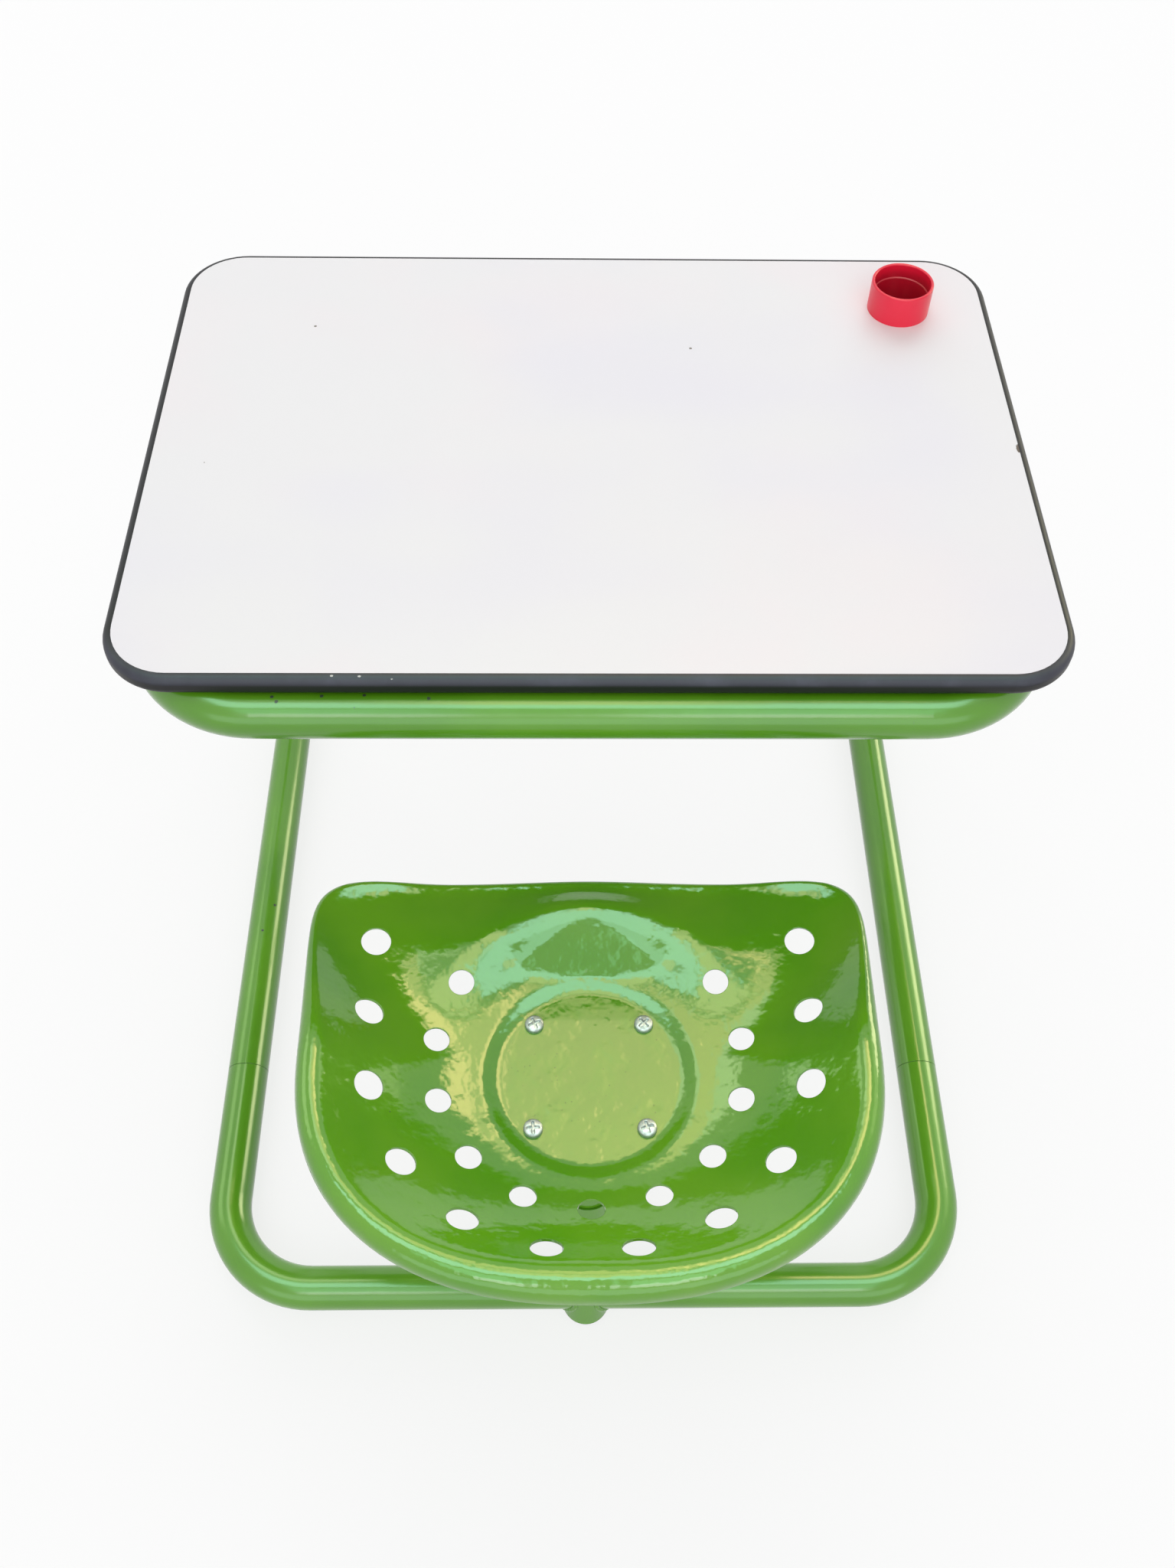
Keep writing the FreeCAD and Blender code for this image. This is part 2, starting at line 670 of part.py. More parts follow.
def seat_pan():
    """Pressed sheet: dished, rolled over at its edge, with a flat recess and punched holes."""
    upper_grid, lower_grid = pan_grids()
    upper, lower = grid_face(upper_grid), grid_face(lower_grid)
    upper_inner, upper_outer = ring_edges(upper)
    lower_inner, lower_outer = ring_edges(lower)
    faces = [upper, lower, Part.makeRuledSurface(upper_outer, lower_outer),
             Part.Face(Part.Wire(upper_inner)), Part.Face(Part.Wire(lower_inner))]
    shell = Part.makeShell(faces)
    shell.sewShape()
    pan = Part.makeSolid(shell)
    if pan.Volume < 0:
        pan.reverse()
    pan = pan.cut(pan_holes())
    pan.translate(V(0, seat_y, seat_z))
    return pan


def group(shapes):
    return Part.makeCompound(list(shapes))


def all_pieces():
    """Every piece of the desk, by name."""
    drillings = frame_drillings()
    pieces = {
        "floor_loop": loop_tube(crossbar_y, floor_z).cut(drillings),
        "top_loop": loop_tube(upper_bar_y, upper_z).cut(drillings),
        "left_side_frame": side_tube(-1).cut(drillings),
        "right_side_frame": side_tube(1).cut(drillings),
        "joint_screws": group(joint_screw(seam) for _, seam in seam_places()),
        "table_core": table_core(),
        "top_laminate": top_laminate(),
        "backing_laminate": backing_laminate(),
        "edge_trim": edge_trim(),
        "top_screws": group(top_screw(p) for p in top_screw_places()),
        "top_inserts": group(insert(p) for p in top_screw_places()),
        "pencil_cup": pencil_cup(),
        "seat_post": seat_post(),
        "clamp_nut": clamp_nut(),
        "clamp_screw": clamp_screw(),
        "seat_stem": seat_stem(),
        "seat_plate": seat_plate(),
        "seat_pan": seat_pan(),
        "seat_screws": group(seat_screw(p) for p in seat_screw_places()),
        "seat_washers": group(seat_washer(p) for p in seat_screw_places()),
        "seat_nuts": group(seat_nut(p) for p in seat_screw_places()),
    }
    for name, seam in seam_places():
        pieces[name] = spigot(seam).cut(drillings)
    for name, foot, along in glide_places():
        pieces[name] = glide(foot, along)
    return pieces


os.makedirs("parts", exist_ok=True)
for name, shape in all_pieces().items():
    shape.exportStep(os.path.join("parts", f"{name}.step"))
    print(name, "solids", len(shape.Solids), "volume", round(shape.Volume), "valid", shape.isValid())
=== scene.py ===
# %% [markdown]
# # A child's desk with its own seat
# The desk is a bent tube frame in green enamel, a white laminated top with a dark edge strip, a red
# pencil cup and a pressed steel seat. The CAD model already holds every shape in real sizes. This
# lesson adds what a drawing can't show: gloss, colour, wear, weld beads and screw slots. It starts
# by loading the CAD frame.

# %% Load the CAD frame
import json
from math import cos, pi, radians, sin

import bmesh
import bpy
import numpy as np
from mathutils import Matrix, Vector


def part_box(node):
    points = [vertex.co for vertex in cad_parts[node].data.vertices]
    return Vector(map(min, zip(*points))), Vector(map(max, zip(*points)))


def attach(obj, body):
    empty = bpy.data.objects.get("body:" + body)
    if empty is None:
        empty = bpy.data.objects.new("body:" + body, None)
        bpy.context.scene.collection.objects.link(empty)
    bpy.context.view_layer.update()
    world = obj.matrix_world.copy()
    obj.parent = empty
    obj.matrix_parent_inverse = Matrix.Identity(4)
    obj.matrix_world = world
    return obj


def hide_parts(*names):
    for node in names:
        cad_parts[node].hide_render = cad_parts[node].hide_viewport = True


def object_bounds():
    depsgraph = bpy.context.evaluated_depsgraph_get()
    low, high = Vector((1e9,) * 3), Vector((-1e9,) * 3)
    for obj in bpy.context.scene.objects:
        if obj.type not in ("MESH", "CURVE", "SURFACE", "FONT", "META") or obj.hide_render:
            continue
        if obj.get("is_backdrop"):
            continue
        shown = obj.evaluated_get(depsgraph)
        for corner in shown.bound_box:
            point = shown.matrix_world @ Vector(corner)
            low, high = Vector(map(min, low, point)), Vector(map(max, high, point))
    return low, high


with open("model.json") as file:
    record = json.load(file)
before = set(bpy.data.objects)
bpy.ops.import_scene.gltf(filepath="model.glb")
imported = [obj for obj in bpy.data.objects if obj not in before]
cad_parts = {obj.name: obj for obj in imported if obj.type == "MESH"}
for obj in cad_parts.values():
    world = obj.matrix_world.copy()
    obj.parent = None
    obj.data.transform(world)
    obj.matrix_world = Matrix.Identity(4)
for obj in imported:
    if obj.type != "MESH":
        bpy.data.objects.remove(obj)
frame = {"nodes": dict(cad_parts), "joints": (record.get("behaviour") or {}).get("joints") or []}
nodes = frame["nodes"]
scene = bpy.context.scene
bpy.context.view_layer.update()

# %% [markdown]
# ## Places
# A piece that is added here must sit where the CAD says. Typing coordinates twice invites mistakes,
# so the places are read from the boxes of the CAD nodes: the crossbar's axis from the floor loop,
# the seat's centre from its plate, and the limits of the edge strip and the cup from their own boxes.
# The seat post leans, and its direction is that of the joint that slides in it.

# %% Read the places that later cells use
loop_low, loop_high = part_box("floor_loop")
tube_radius = (loop_high.z - loop_low.z) / 2
crossbar = Vector((0, loop_low.y + tube_radius, loop_low.z + tube_radius))
plate_low, plate_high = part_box("seat_plate")
seat_centre = Vector((0, (plate_low.y + plate_high.y) / 2, plate_low.z))
trim_low, trim_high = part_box("edge_trim")
cup_low, cup_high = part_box("pencil_cup")
cup_axis = (cup_low + cup_high) / 2
slide = next(joint for joint in frame["joints"] if joint["name"] == "seat_height")
post_axis = Vector(slide["axis"])
print("tube radius", round(tube_radius, 4), "crossbar at", crossbar, "seat at", seat_centre)

# %% [markdown]
# ## The camera
# The photograph looks down over the seat from behind. Its camera was worked out from the straight
# edges of the top and the round ends of the tubes: a focal length of 1900 pixels on a frame
# 1535 by 2048, with small turns off square. A matrix of three axes and an eye point says this
# exactly, where Euler angles would have to be tried.

# %% Place the camera
focal_px, photo_height = 1900, 2048
pitch, yaw, roll = radians(54.549), radians(1.837), radians(-1.506)
forward = Vector((sin(yaw) * cos(pitch), cos(yaw) * cos(pitch), -sin(pitch)))
level = Vector((cos(yaw), -sin(yaw), 0))
down = forward.cross(level)
right = level * cos(roll) + down * sin(roll)
up = level * sin(roll) - down * cos(roll)
eye_from_crossbar = Vector((-0.0227, -0.38802, 1.31947))
eye = crossbar + eye_from_crossbar

camera_data = bpy.data.cameras.new("photo_camera")
camera_data.sensor_width = 36
camera_data.lens = camera_data.sensor_width * focal_px / photo_height
camera = bpy.data.objects.new("photo_camera", camera_data)
turned = Matrix((right, up, -forward)).transposed().to_4x4()
camera.matrix_world = Matrix.Translation(eye) @ turned
scene.collection.objects.link(camera)
scene.camera = camera
print("camera at", [round(v, 3) for v in eye], "lens", round(camera_data.lens, 2), "mm")

# %% [markdown]
# ## Grids become meshes
# Every new piece in this lesson is a surface over two parameters. Its points are worked out as one
# array, and the faces follow from the grid's own numbering, so no loop visits single vertices.
# Poles, where a whole row meets in one point, are merged afterwards.

# %% Turn a grid of points into a mesh object
merge_distance = 1e-7


def grid_mesh(name, points, close_rows=False, close_columns=False):
    """A mesh from points of shape (copies, rows, columns, 3). Each face joins a point to its next
    neighbours along the row and the column, and a closed direction wraps round to its start."""
    copies, rows, columns = points.shape[:3]
    i = np.arange(rows if close_rows else rows - 1)[:, None]
    j = np.arange(columns if close_columns else columns - 1)[None, :]
    i_next, j_next = (i + 1) % rows, (j + 1) % columns
    start, end = i * columns, i_next * columns
    corners = np.broadcast_arrays(start + j, start + j_next, end + j_next, end + j)
    one_copy = np.stack(corners, -1).reshape(-1, 4)
    first_points = np.arange(copies)[:, None, None] * rows * columns
    faces = (first_points + one_copy).reshape(-1, 4)
    mesh = bpy.data.meshes.new(name)
    mesh.from_pydata(points.reshape(-1, 3).tolist(), [], faces.tolist())
    shell = bmesh.new()
    shell.from_mesh(mesh)
    bmesh.ops.remove_doubles(shell, verts=shell.verts, dist=merge_distance)
    bmesh.ops.recalc_face_normals(shell, faces=shell.faces)
    shell.to_mesh(mesh)
    shell.free()
    mesh.polygons.foreach_set("use_smooth", np.ones(len(mesh.polygons), dtype=bool))
    mesh.update()
    made = bpy.data.objects.new(name, mesh)
    scene.collection.objects.link(made)
    print(name, "has", len(mesh.vertices), "points and", len(mesh.polygons), "faces")
    return made


print("points closer than", merge_distance, "m are merged")

# %% [markdown]
# ## Shader maths as arithmetic
# A finish is a graph of small nodes. Written link by link it hides its own idea, so one class wraps
# a socket and lets Python's operators add the Math nodes. Everything else comes from a single
# method that takes the node's type, its settings and its sockets.

# %% Wrap a socket
class Wire:
    """One output socket of a graph, which can be added, subtracted, multiplied and compared."""

    def __init__(self, graph, socket):
        self.graph, self.socket = graph, socket

    def other(self, name):
        """Another output of the same node."""
        return Wire(self.graph, self.socket.node.outputs[name])

    def math(self, operation, first, second, third=0.0):
        """A Math node on up to three values."""
        sockets = {0: first, 1: second, 2: third}
        return self.graph.node("ShaderNodeMath", {"operation": operation}, sockets)

    def __add__(self, value):
        return self.math("ADD", self, value)

    def __sub__(self, value):
        return self.math("SUBTRACT", self, value)

    def __rsub__(self, value):
        return self.math("SUBTRACT", value, self)

    def __mul__(self, value):
        return self.math("MULTIPLY", self, value)

    def most(self, value, blend=0.0):
        """The larger of two values, rounded where they are closer than the blend."""
        return self.math("SMOOTH_MAX" if blend else "MAXIMUM", self, value, blend)

    def least(self, value, blend=0.0):
        """The smaller of two values, rounded in the same way."""
        return self.math("SMOOTH_MIN" if blend else "MINIMUM", self, value, blend)

    def size(self):
        """The value without its sign."""
        return self.math("ABSOLUTE", self, 0.0)

    __radd__, __rmul__ = __add__, __mul__


print("a Wire knows", [name for name in vars(Wire) if not name.startswith("__")])

# %% Make nodes
class Graph:
    """A node tree that is built by naming what goes into each node."""

    def __init__(self, tree):
        self.tree = tree
        tree.nodes.clear()

    def node(self, kind, settings=None, sockets=None, output=0):
        """Add a node, apply its settings first, then fill its sockets with values or wires."""
        made = self.tree.nodes.new(kind)
        for key, value in (settings or {}).items():
            setattr(made, key, value)
        for key, value in (sockets or {}).items():
            if isinstance(value, Wire):
                self.tree.links.new(value.socket, made.inputs[key])
            else:
                made.inputs[key].default_value = value
        return Wire(self, made.outputs[output]) if len(made.outputs) else None

    def place(self):
        """Object coordinates, which are the desk's own metres: every piece sits at the origin."""
        return self.node("ShaderNodeTexCoord", output="Object")

    def vector(self, operation, first, second):
        """A Vector Math node on two vectors."""
        return self.node("ShaderNodeVectorMath", {"operation": operation}, {0: first, 1: second})

    def noise(self, place, scale, detail=2.0, stretch=None):
        """Soft random values round 0.5. A scale of 100 gives patches about a centimetre wide."""
        if stretch:
            place = self.vector("MULTIPLY", place, stretch)
        sockets = {"Vector": place, "Scale": scale, "Detail": detail}
        return self.node("ShaderNodeTexNoise", {}, sockets)

    def step(self, value, low, high):
        """A smooth step from 0 at low to 1 at high."""
        sockets = {"Value": value, "From Min": low, "From Max": high}
        return self.node("ShaderNodeMapRange", {"interpolation_type": "SMOOTHSTEP"}, sockets)

    def mix(self, mask, first, second):
        """One colour where the mask is 0 and another where it is 1."""
        sockets = {0: mask, 6: first, 7: second}
        return self.node("ShaderNodeMix", {"data_type": "RGBA"}, sockets, output=2)

    def distance(self, place, point, stretch=(1, 1, 1)):
        """Distance of the surface from a point, with each axis weighted."""
        offset = self.vector("SUBTRACT", place, point)
        weighted = self.vector("MULTIPLY", offset, stretch)
        return self.node("ShaderNodeVectorMath", {"operation": "LENGTH"}, {0: weighted}, output="Value")

    def marks(self, place, points, radius, stretch=(1, 1, 1)):
        """A mask of ragged spots of one radius at chosen points."""
        ragged = (self.noise(place, 2.2 / radius, 3) - 0.5) * radius
        mask = 0.0
        for point in points:
            spot = self.step(self.distance(place, point, stretch) + ragged, radius, 0.8 * radius)
            mask = spot.most(mask)
        return mask

    def flecks(self, place, cell, radius, share):
        """A mask of small dots, one in each cell of space, of which only a share is kept."""
        sockets = {"Vector": place, "Scale": 1 / cell}
        distance = self.node("ShaderNodeTexVoronoi", {"feature": "F1"}, sockets)
        chance = self.node("ShaderNodeSeparateColor", {}, {0: distance.other("Color")})
        dot = self.step(distance, radius / cell, 0.6 * radius / cell)
        return dot * self.step(chance, 1 - share, 1 - share + 0.01)

    def seen(self):
        """1 for rays from the camera, off gloss or through glass, and 0 for light that bounces."""
        ray = self.node("ShaderNodeLightPath", output="Is Camera Ray")
        return ray.most(ray.other("Is Glossy Ray")).most(ray.other("Is Transmission Ray"))

    def bump(self, height, normal=None):
        """A surface normal from a height in metres."""
        sockets = {"Strength": 1.0, "Distance": 1.0, "Height": height}
        if normal:
            sockets["Normal"] = normal
        return self.node("ShaderNodeBump", {}, sockets)


print("a Graph makes", [name for name in vars(Graph) if not name.startswith("__")])

# %% [markdown]
# ## Colours and the finish's last node
# Paint is described by the numbers of a colour picker, which follow the eye's curve, while a
# renderer adds up light, so the numbers are straightened first. Each finish ends in one Principled
# shader. What is the same all over is set on its own socket.

# %% Write a colour and close a finish
def paint(red, green, blue):
    """A picker's colour, 0 to 255, as light: below 0.04 a straight line, above it a power of 2.4."""
    value = np.array([red, green, blue]) / 255
    light = np.where(value <= 0.04045, value / 12.92, ((value + 0.055) / 1.055) ** 2.4)
    return (*light.tolist(), 1.0)


finishes = {}


def new_finish(name):
    """Start a finish and give its empty graph."""
    material = bpy.data.materials.new(name)
    material.use_nodes = True
    finishes[name] = material
    return Graph(material.node_tree)


def close_finish(graph, sockets):
    """End a finish in a Principled shader with these sockets."""
    surface = graph.node("ShaderNodeBsdfPrincipled", {}, sockets)
    graph.node("ShaderNodeOutputMaterial", {}, {"Surface": surface})
    print(list(finishes)[-1], "uses", len(graph.tree.nodes), "nodes")


def dress(finish, *names):
    """Give the named CAD nodes a finish."""
    for name in names:
        for slot in nodes[name].material_slots:
            slot.material = finishes[finish]


print("middle grey as light", [round(v, 3) for v in paint(128, 128, 128)])

# %% [markdown]
# ## Green enamel
# Stoved enamel flows before it hardens, so it is glossy, with a faint orange peel a few millimetres
# wide, and it follows the waves that pressing and bending left in the steel. Its reflections
# therefore break up at their borders. A bump from three scales of noise does this better than a
# rougher shader, which would only blur. The tubes are hazier than the seat, which ripples more.
# Pressing also left two faint forms in the seat, a dish in the recess and a crease in the raised
# front, which join the bump. Small dark flecks are chips down to the primer. The edges of punched
# holes are softened with a Bevel node, because paint rounds them.

# %% How enamel is made
primer, pit_shadow = paint(40, 54, 30), paint(62, 96, 26)


def enamel(name, light, dark, haze, ripple, chips, forms=None):
    """Enamel in clouds of two greens. Haze is its least roughness, and ripple the height of its finer
    waves in metres. Chips gives a mask of bare spots, and forms how pitted the surface is and the
    height of its faint forms."""
    graph = new_finish(name)
    place = graph.place()
    cloud = graph.step(graph.noise(place, 9, 3), 0.35, 0.65)
    colour = graph.mix(cloud, dark, light)
    flecks = graph.flecks(place, cell=0.021, radius=0.0007, share=0.16)
    flecks = flecks.most(chips(graph, place))
    rough = haze + 0.08 * graph.noise(place, 14, 3) + 0.35 * flecks
    peel = graph.noise(place, 330, 1) * 5e-6
    waves = graph.noise(place, 17, 2) * 6e-4 + graph.noise(place, 75, 2) * ripple
    height = peel + waves - 2e-5 * flecks
    if forms:
        pitted, form = forms(graph, place)
        pits = graph.flecks(place, cell=0.0042, radius=0.0008, share=0.5) * pitted
        height = height + form - 3e-5 * pits + 8e-6 * graph.noise(place, 700, 2) * pitted
        rough = rough + 0.08 * pitted
        colour = graph.mix(pits * 0.5, colour, pit_shadow)
    colour = graph.mix(flecks, colour, primer)
    soft = graph.node("ShaderNodeBevel", {"samples": 4}, {"Radius": 0.0008})
    close_finish(graph, {"Base Color": colour, "Roughness": rough, "Normal": graph.bump(height, soft),
                         "IOR": 1.55, "Coat Weight": 0.4, "Coat Roughness": 0.7 * haze})


print("primer under the chips as light", [round(v, 3) for v in primer])

# %% The frame's and the seat's chips
scuffs = [(-0.281, -0.056, 0.5322), (-0.2278, -0.065, 0.5324), (-0.2242, -0.0688, 0.5319),
          (-0.1926, -0.0643, 0.5324), (-0.1623, -0.0635, 0.5324), (-0.1164, -0.0662, 0.5323),
          (-0.3179, 0.0564, 0.0392), (-0.3266, 0.0255, 0.041)]
dents = [(0.2001, -0.2989, 0.338), (0.1936, -0.3059, 0.338)]


def frame_chips(graph, place):
    """Scuffs on the upper bar and the left runner."""
    return graph.marks(place, scuffs, radius=0.0015)


def seat_chips(graph, place):
    """Dents in the seat's right edge."""
    return graph.marks(place, dents, radius=0.0012)


print(len(scuffs), "scuffs on the frame and", len(dents), "dents on the seat")

# %% The seat's recess and raised front
recess_radius, dish_curve = 0.068, 0.35
ramp_start, ramp_slope, hump_height, hump_reach = 0.084, 0.2, 0.009, 0.095
gable_height, gable_fall = 0.01, 0.14
ridge_round, ramp_round, hump_round, foot_round, crease_round = 0.008, 0.012, 0.0024, 0.0012, 0.0008


def seat_forms(graph, place):
    """How pitted the recess is, in patches, and the height of two faint forms. The recess is a dish
    that rises with the square of the distance from the seat's axis. The raised front is creased to a
    gable: where its ramp, cut off by its hump, stands over two planes that fall to either side, the
    rest is taken off. The crease fades out towards the front edge and towards the recess."""
    axes = graph.node("ShaderNodeSeparateXYZ", {}, {0: place})
    x, ahead = axes.other("X"), axes.other("Y") - seat_centre.y
    across = x.most(0.0 - x, ridge_round)
    from_axis = graph.distance(place, (seat_centre.x, seat_centre.y, 0.0), (1, 1, 0))
    in_recess = graph.step(from_axis, 0.07, 0.064)
    pitted = in_recess * graph.step(graph.noise(place, 45, 2), 0.45, 0.62)
    reach = from_axis.least(recess_radius)
    ramp = ramp_slope * (ahead - ramp_start).most(0.0, ramp_round)
    hump = hump_height * graph.step(across, hump_reach, 0.0)
    gable = (gable_height - gable_fall * across).most(0.0, foot_round)
    over = (ramp.least(hump, hump_round) - gable).most(0.0, crease_round)
    over = over * graph.step(from_axis, 0.163, 0.138) * graph.step(ahead, 0.06, 0.08)
    return pitted, dish_curve * reach * reach - over


gable_reach = round(gable_height / gable_fall, 3)
print("the gable is", gable_height, "m high and reaches", gable_reach, "m to each side")

# %% Enamel on the frame and the seat
enamel("frame_enamel", light=paint(98, 163, 28), dark=paint(88, 153, 20), haze=0.18, ripple=1.0e-4,
       chips=frame_chips)
enamel("seat_enamel", light=paint(108, 172, 28), dark=paint(92, 163, 19), haze=0.07, ripple=7.0e-4,
       chips=seat_chips, forms=seat_forms)
dress("frame_enamel", "floor_loop", "top_loop", "left_side_frame", "right_side_frame", "seat_post",
      "clamp_nut", "seat_stem", "seat_plate")
dress("seat_enamel", "seat_pan")

# %% [markdown]
# ## White laminate
# The writing surface is pressed melamine paper: almost white, satin, a little cloudy in warm and
# lilac tints, with a fine tooth that takes pencil. Two slow noises tint it, one fine noise gives the
# tooth, and a few specks and a nick at the right edge are set where years of use put them.

# %% Laminate for the writing surface
white, warm_white, lilac_white = paint(236, 235, 236), paint(239, 233, 235), paint(232, 230, 237)
tooth_grey, dirt_brown, board_brown = paint(190, 188, 190), paint(120, 112, 104), paint(96, 84, 74)
specks = [(0.0878, 0.3009, 0.5502), (-0.2327, 0.3277, 0.5502)]
nick_place = (0.3459, 0.1774, 0.5502)
graph = new_finish("laminate")
place = graph.place()
warm = graph.step(graph.noise(place, 5, 3), 0.45, 0.7)
lilac = graph.step(graph.noise(place, 3.3, 2, (1, 1.4, 7)), 0.45, 0.7)
colour = graph.mix(warm * 0.8, white, warm_white)
colour = graph.mix(lilac * 0.8, colour, lilac_white)
tooth = graph.noise(place, 800, 2)
colour = graph.mix(0.05 * tooth, colour, tooth_grey)
dust = graph.flecks(place, cell=0.05, radius=0.0006, share=0.12)
dirt = graph.marks(place, specks, radius=0.0013).most(dust)
nick = graph.marks(place, [nick_place], radius=0.0022, stretch=(1, 0.4, 1))
colour = graph.mix(dirt, colour, dirt_brown)
colour = graph.mix(nick, colour, board_brown)
rough = 0.34 + 0.1 * graph.noise(place, 11, 3)
close_finish(graph, {"Base Color": colour, "Roughness": rough,
                     "Normal": graph.bump(tooth * 3e-6 - nick * 2e-4)})
dress("laminate", "top_laminate")

# %% [markdown]
# ## Dark edge strip
# The strip is extruded soft plastic, knocked in round the board with its ends butted at the back.
# It is a slate black with a satin sheen. Its upper edge is painted lighter as a highlight, faintly
# all round and most on the near side, where arms have also rubbed it lighter in patches and three
# pale chips show. The extruder's lines run lengthwise, so that noise is stretched.

# %% Edging
slate, sheen_and_rubbed_slate = paint(16, 16, 18), paint(88, 88, 102)
chip_white, seam_black = paint(206, 204, 200), paint(14, 14, 15)
knocks = [(-0.1836, -0.06, 0.5496), (-0.1642, -0.0603, 0.5495), (-0.1414, -0.0617, 0.5482)]
upper_edge_z = (trim_low.z + trim_high.z) / 2 + 0.006
graph = new_finish("edging")
place = graph.place()
axes = graph.node("ShaderNodeSeparateXYZ", {}, {0: place})
upper_sheen_band = graph.step((axes.other("Z") - upper_edge_z).size(), 0.005, 0.001)
near = graph.step(axes.other("Y"), trim_low.y + 0.05, trim_low.y + 0.02)
sheen_and_rubbing = upper_sheen_band * near * graph.step(graph.noise(place, 28, 4), 0.4, 0.75)
# painted highlight: a lighter band along the upper edge, faint all round and strongest on the near side,
# where rubbed patches add wear
colour = graph.mix(upper_sheen_band * (0.1 + 0.35 * near) + 0.3 * sheen_and_rubbing, slate, sheen_and_rubbed_slate)
knocked = graph.marks(place, knocks, radius=0.0008, stretch=(0.6, 1, 1))
colour = graph.mix(knocked, colour, chip_white)
at_back = graph.step(axes.other("Y"), trim_high.y - 0.02, trim_high.y - 0.01)
butt = at_back * graph.step(axes.other("X").size(), 0.0004, 0.0002)
colour = graph.mix(butt, colour, seam_black)
lines = graph.noise(place, 260, 2, (0.1, 0.1, 4))
rough = 0.36 + 0.14 * graph.noise(place, 60, 3) + 0.12 * sheen_and_rubbing
close_finish(graph, {"Base Color": colour, "Roughness": rough, "Specular IOR Level": 0.3,
                     "Normal": graph.bump(lines * 1.5e-5 - butt * 2e-4)})
dress("edging", "edge_trim")

# %% [markdown]
# ## Red cup
# The pencil cup is injection-moulded plastic. It is bright and half glossy outside. Inside it is
# painted darker as shade, and rough patches there darken it more towards the bottom.

# %% Cup plastic
red, deep_red, inside_shade_red = paint(240, 34, 68), paint(232, 26, 58), paint(96, 8, 20)
graph = new_finish("cup_plastic")
place = graph.place()
axes = graph.node("ShaderNodeSeparateXYZ", {}, {0: place})
from_axis = graph.distance(place, (cup_axis.x, cup_axis.y, 0.0), (1, 1, 0))
below_rim = graph.step(axes.other("Z"), cup_high.z - 0.002, cup_high.z - 0.012)
inside = graph.step(from_axis, 0.0252, 0.0246) * below_rim
dust = inside * graph.step(graph.noise(place, 70, 4, (1, 1, 0.25)), 0.42, 0.7)
depth = graph.step(axes.other("Z"), cup_high.z - 0.03, cup_low.z)
colour = graph.mix(graph.noise(place, 40, 2), red, deep_red)
# painted shade: all of the inside is darker, and the patches darker still towards the bottom
colour = graph.mix(0.4 * inside + 0.4 * dust * depth, colour, inside_shade_red)
scratches = graph.noise(place, 240, 2, (1, 1, 0.06))
rough = 0.26 + 0.12 * scratches + 0.2 * dust
close_finish(graph, {"Base Color": colour, "Roughness": rough, "IOR": 1.5,
                     "Normal": graph.bump(scratches * 4e-6 + graph.noise(place, 60, 1) * 3e-5)})
dress("cup_plastic", "pencil_cup")

# %% [markdown]
# ## Zinc-plated screws
# Plated steel is a dull silver that dims in patches as the zinc ages. It is a metal, so its colour
# is the colour of its reflection, and its roughness does most of the work.

# %% Zinc
graph = new_finish("zinc")
place = graph.place()
aged = graph.step(graph.noise(place, 260, 4), 0.4, 0.68)
bright_zinc, dull_zinc = paint(196, 196, 198), paint(160, 159, 162)
colour = graph.mix(aged, bright_zinc, dull_zinc)
rough = 0.46 + 0.16 * aged
fine = graph.noise(place, 1400, 2)
close_finish(graph, {"Base Color": colour, "Roughness": rough, "Metallic": 1.0,
                     "Normal": graph.bump(fine * 6e-6)})
dress("zinc", "clamp_screw", "seat_washers", "seat_nuts", "left_floor_spigot", "right_floor_spigot",
      "left_top_spigot", "right_top_spigot", "top_inserts")

# %% [markdown]
# ## Hidden finishes
# From below the desk shows a pale brown-grey backing sheet and black glides, and chipboard lies
# inside. They are cheap materials in real life too, but each still has its own grain: fibres in the
# sheet, flat chips in the board, a moulded grain on the glides.

# %% Backing sheet
graph = new_finish("backing")
place = graph.place()
fibres = graph.noise(place, 420, 4, (1, 0.12, 1))
cloud = graph.noise(place, 7, 3)
pale_sheet, brown_sheet = paint(214, 206, 194), paint(190, 180, 166)
colour = graph.mix(0.5 * fibres + 0.4 * cloud, pale_sheet, brown_sheet)
close_finish(graph, {"Base Color": colour, "Roughness": 0.5 + 0.2 * fibres,
                     "Normal": graph.bump(fibres * 1e-5)})
dress("backing", "backing_laminate")

# %% Chipboard
graph = new_finish("chips")
place = graph.place()
chip = graph.node("ShaderNodeTexVoronoi", {"feature": "F1"}, {"Vector": place, "Scale": 320.0})
shade = graph.node("ShaderNodeSeparateColor", {}, {0: chip.other("Color")})
pale_chip, dark_chip = paint(206, 172, 124), paint(150, 112, 70)
colour = graph.mix(shade, pale_chip, dark_chip)
close_finish(graph, {"Base Color": colour, "Roughness": 0.75 + 0.1 * shade,
                     "Normal": graph.bump(chip * 2e-4)})
dress("chips", "table_core")

# %% Glides
graph = new_finish("glide_black")
place = graph.place()
grain = graph.noise(place, 900, 3)
worn = graph.step(graph.noise(place, 120, 3), 0.5, 0.7)
black, worn_black = paint(42, 42, 44), paint(66, 65, 64)
colour = graph.mix(worn, black, worn_black)
close_finish(graph, {"Base Color": colour, "Roughness": 0.45 + 0.2 * worn,
                     "Normal": graph.bump(grain * 2e-5)})
dress("glide_black", "near_left_glide", "near_right_glide", "far_left_glide", "far_right_glide")

# %% [markdown]
# ## Weld beads
# The post is welded where the crossbar passes through it, the stem is welded under the seat plate,
# and the clamp nut to the post. A bead is a rope of small overlapping scallops. It can be modelled
# as a ring swept along the line where two pieces meet, whose radius swells once per scallop.

